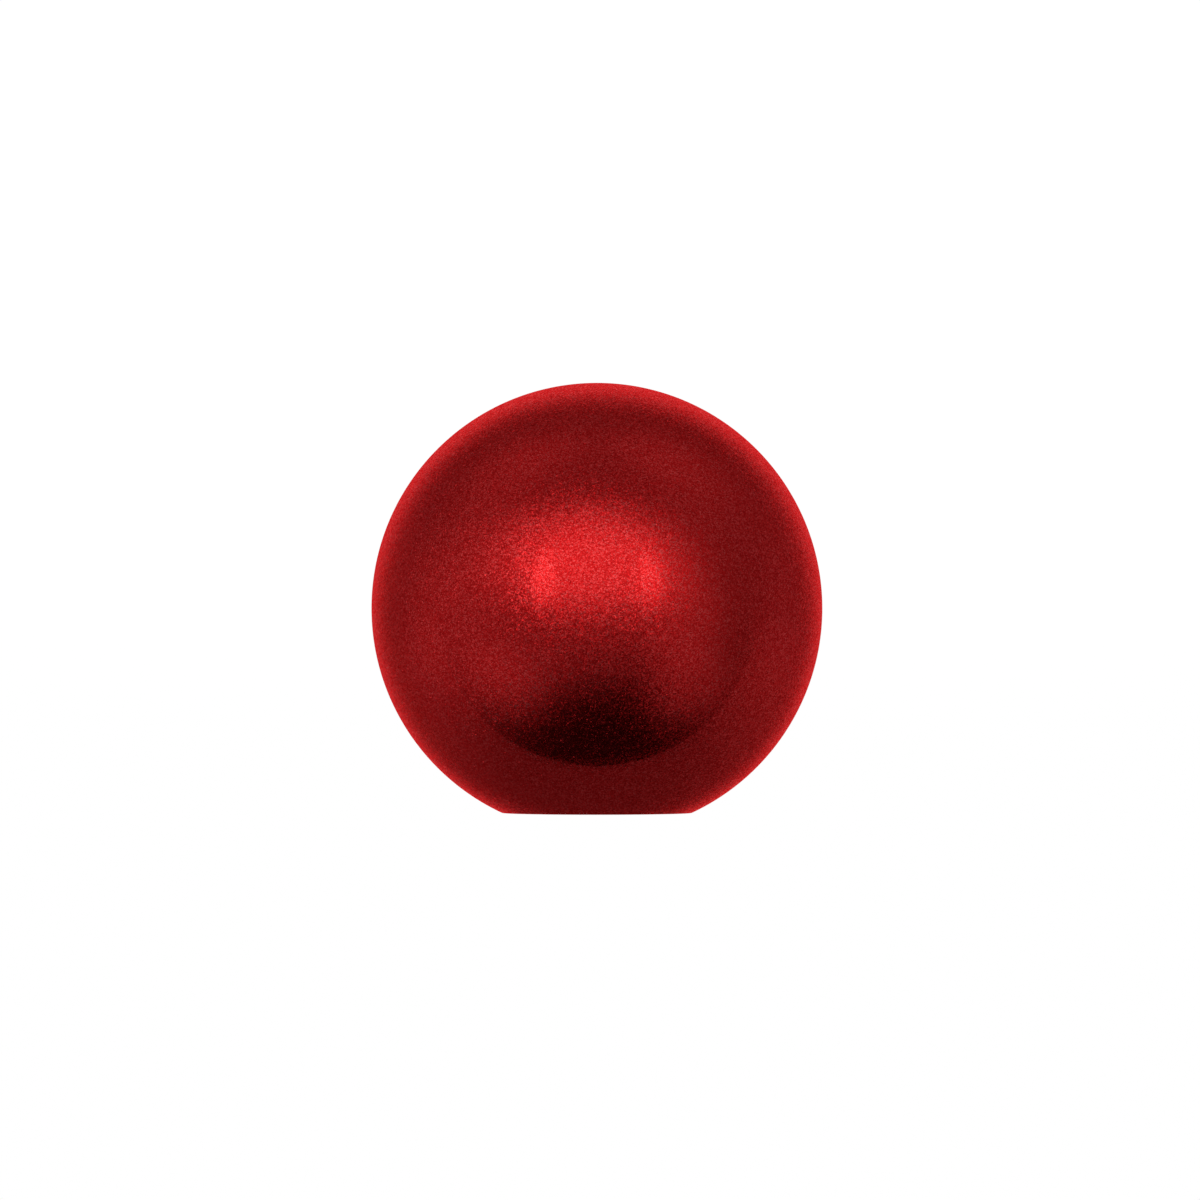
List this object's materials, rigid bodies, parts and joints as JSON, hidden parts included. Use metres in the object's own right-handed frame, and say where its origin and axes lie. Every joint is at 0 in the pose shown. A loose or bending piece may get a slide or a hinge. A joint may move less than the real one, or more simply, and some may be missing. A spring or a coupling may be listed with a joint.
{
  "type": "gear lever ball knob",
  "caption": "Round metal-flake ball knob with a flat seat, a brass threaded insert and a screw-in thread adapter for a gear lever.",
  "frame": {"origin": "centre of the flat seat, on the axis of the thread", "axes": "+Z along the thread axis from the seat towards the top of the ball; X and Y lie in the seat, with +X along the adapter's driver slots"},
  "size_m": [0.054, 0.054, 0.0515],
  "materials": {
    "core_resin": "matte",
    "metal_flake": "satin",
    "clear_lacquer": "gloss",
    "insert_brass": "satin",
    "adapter_aluminium": "satin",
    "seal_rubber": "matte"
  },
  "bodies": {
    "knob": {"ball_core": "core_resin", "flake_coat": "metal_flake", "clear_coat": "clear_lacquer", "threaded_insert": "insert_brass"},
    "seal": {"adapter_seal": "seal_rubber"},
    "adapter": {"thread_adapter": "adapter_aluminium"}
  },
  "joints": [
    {"name": "adapter_travel", "type": "slide", "parent": "knob", "child": "seal", "axis": [0, 0, -1], "range_m": [0, 0.015]},
    {"name": "adapter_turn", "type": "hinge", "parent": "seal", "child": "adapter", "pos_m": [0, 0, 0], "axis": [0, 0, -1], "range_deg": [0, 3600]}
  ],
  "couplings": [
    {"joint": "adapter_travel", "follows": "adapter_turn", "m_per_rad": 0.00023873}
  ]
}
